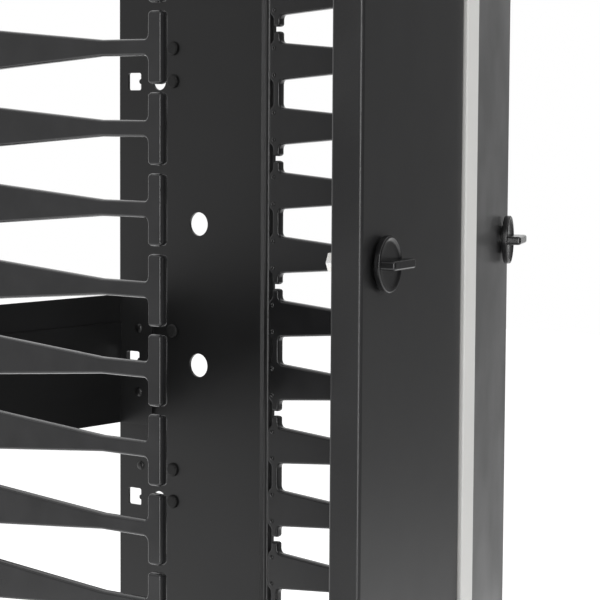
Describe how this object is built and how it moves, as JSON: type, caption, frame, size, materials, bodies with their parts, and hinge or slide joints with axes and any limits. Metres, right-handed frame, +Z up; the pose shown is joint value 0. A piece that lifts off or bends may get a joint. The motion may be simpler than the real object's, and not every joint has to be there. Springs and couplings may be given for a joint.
{
  "type": "vertical cable manager",
  "caption": "Tall open rack duct: two slotted side panels with finger combs, rear cross-members and a bowed door that hangs from spring pins on either edge.",
  "frame": {"origin": "on the floor, at the centre of the four anchor holes in the bottom plate", "axes": "+X to the right seen from the door side, +Y to the rear, +Z up; the door is at the front, towards -Y"},
  "size_m": [0.3069, 0.4379, 2.1336],
  "materials": {
    "black_sheet": "fine textured powder coat, satin",
    "door_paint": "fine textured powder coat, satin",
    "strip_paint": "smooth light grey coat, satin",
    "comb_plastic": "moulded, semi-matte",
    "knob_plastic": "moulded, semi-gloss",
    "guide_plastic": "moulded, matte",
    "bush_plastic": "moulded, matte",
    "plug_grey": "moulded, matte",
    "dark_rivet": "painted",
    "zinc_screw": "zinc plated",
    "zinc_part": "zinc plated",
    "spring_steel": "bright drawn wire",
    "plain_steel": "zinc plated, satin"
  },
  "bodies": {
    "frame": {"left_side_panel": "black_sheet", "right_side_panel": "black_sheet", "bottom_plate": "black_sheet", "top_plate": "black_sheet", "lower_cross_member": "black_sheet", "middle_cross_member": "black_sheet", "upper_cross_member": "black_sheet", "cross_member_screws": "zinc_screw", "plate_screws": "zinc_screw", "panel_rivets": "dark_rivet", "hole_plugs": "plug_grey", "hinge_bushes": "bush_plastic", "left_comb_1": "comb_plastic", "left_comb_2": "comb_plastic", "left_comb_3": "comb_plastic", "left_comb_4": "comb_plastic", "left_comb_5": "comb_plastic", "left_comb_6": "comb_plastic", "left_comb_7": "comb_plastic", "left_comb_8": "comb_plastic", "right_comb_1": "comb_plastic", "right_comb_2": "comb_plastic", "right_comb_3": "comb_plastic", "right_comb_4": "comb_plastic", "right_comb_5": "comb_plastic", "right_comb_6": "comb_plastic", "right_comb_7": "comb_plastic", "right_comb_8": "comb_plastic", "left_comb_rivets": "zinc_screw", "right_comb_rivets": "zinc_screw"},
    "door": {"door_skin": "door_paint", "door_strip": "strip_paint", "door_stiffener": "plain_steel", "door_top_cap": "black_sheet", "door_bottom_cap": "black_sheet", "left_rod_guides": "guide_plastic", "right_rod_guides": "guide_plastic", "knob_bushes": "bush_plastic"},
    "left_latch": {"left_knob": "knob_plastic", "left_spindle": "zinc_part", "left_cam": "zinc_part", "left_spring": "spring_steel", "left_nut": "zinc_part"},
    "right_latch": {"right_knob": "knob_plastic", "right_spindle": "zinc_part", "right_cam": "zinc_part", "right_spring": "spring_steel", "right_nut": "zinc_part"},
    "left_upper_rod": {"left_upper_rod": "plain_steel"},
    "left_lower_rod": {"left_lower_rod": "plain_steel"},
    "right_upper_rod": {"right_upper_rod": "plain_steel"},
    "right_lower_rod": {"right_lower_rod": "plain_steel"}
  },
  "joints": [
    {"name": "door_hinge", "type": "hinge", "parent": "frame", "child": "door", "pos_m": [0.13923, -0.15905, 1.0668], "axis": [0, 0, 1], "range_deg": [-18.2, 92]},
    {"name": "left_latch_turn", "type": "hinge", "parent": "door", "child": "left_latch", "pos_m": [-0.11004, -0.25329, 1.0632], "axis": [-0.2095, 0.9778, 0], "range_deg": [0, 180]},
    {"name": "right_latch_turn", "type": "hinge", "parent": "door", "child": "right_latch", "pos_m": [0.13126, -0.17395, 1.0632], "axis": [-0.4116, 0.9114, 0], "range_deg": [0, 180]},
    {"name": "left_upper_rod_slide", "type": "slide", "parent": "door", "child": "left_upper_rod", "axis": [0, 0, 1], "range_m": [0, 0.011]},
    {"name": "left_lower_rod_slide", "type": "slide", "parent": "door", "child": "left_lower_rod", "axis": [0, 0, -1], "range_m": [0, 0.011]},
    {"name": "right_upper_rod_slide", "type": "slide", "parent": "door", "child": "right_upper_rod", "axis": [0, 0, -1], "range_m": [0, 0.011]},
    {"name": "right_lower_rod_slide", "type": "slide", "parent": "door", "child": "right_lower_rod", "axis": [0, 0, 1], "range_m": [0, 0.011]}
  ],
  "couplings": [
    {"joint": "left_latch_turn", "follows": "left_upper_rod_slide", "rad_per_m": 285.6},
    {"joint": "left_lower_rod_slide", "follows": "left_upper_rod_slide", "ratio": 1},
    {"joint": "right_latch_turn", "follows": "right_upper_rod_slide", "rad_per_m": 285.6},
    {"joint": "right_lower_rod_slide", "follows": "right_upper_rod_slide", "ratio": 1}
  ]
}
